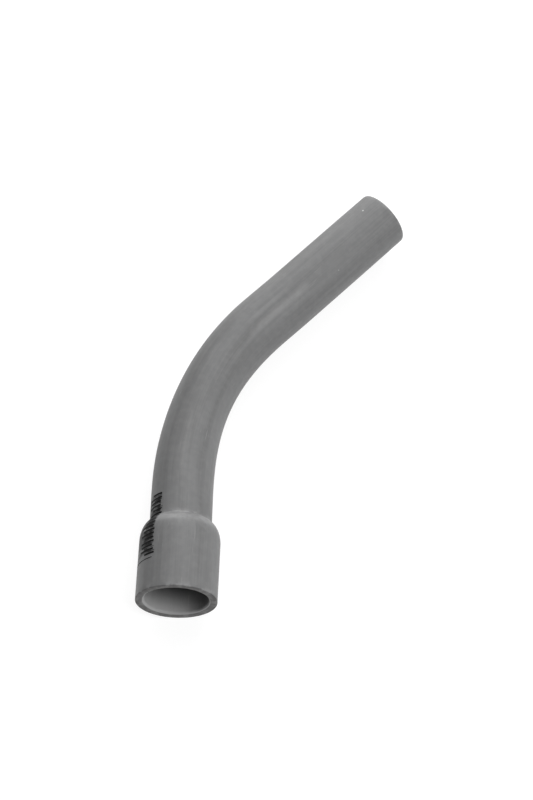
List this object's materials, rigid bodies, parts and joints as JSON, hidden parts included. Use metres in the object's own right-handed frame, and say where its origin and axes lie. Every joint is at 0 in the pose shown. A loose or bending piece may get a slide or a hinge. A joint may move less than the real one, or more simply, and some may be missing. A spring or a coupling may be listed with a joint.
{
  "type": "pvc conduit elbow",
  "caption": "Grey rigid plastic conduit elbow: a 45 degree standard-radius bend with a belled socket on one end, a plain spigot on the other and a printed ink strip.",
  "frame": {"origin": "centre of the socket mouth, in the plane of the mouth's rim", "axes": "+Y runs from the mouth into the socket leg, the tube bends from +Y towards +X, and +Z is square to the plane that the elbow lies in"},
  "size_m": [0.1438, 0.2511, 0.0434],
  "materials": {
    "pvc": "satin",
    "ink": "matte"
  },
  "bodies": {
    "root": {"bell": "pvc", "shoulder": "pvc", "socket_leg": "pvc", "bend_lower": "pvc", "bend_middle": "pvc", "bend_upper": "pvc", "spigot_leg": "pvc", "ink_print": "ink"}
  },
  "joints": []
}
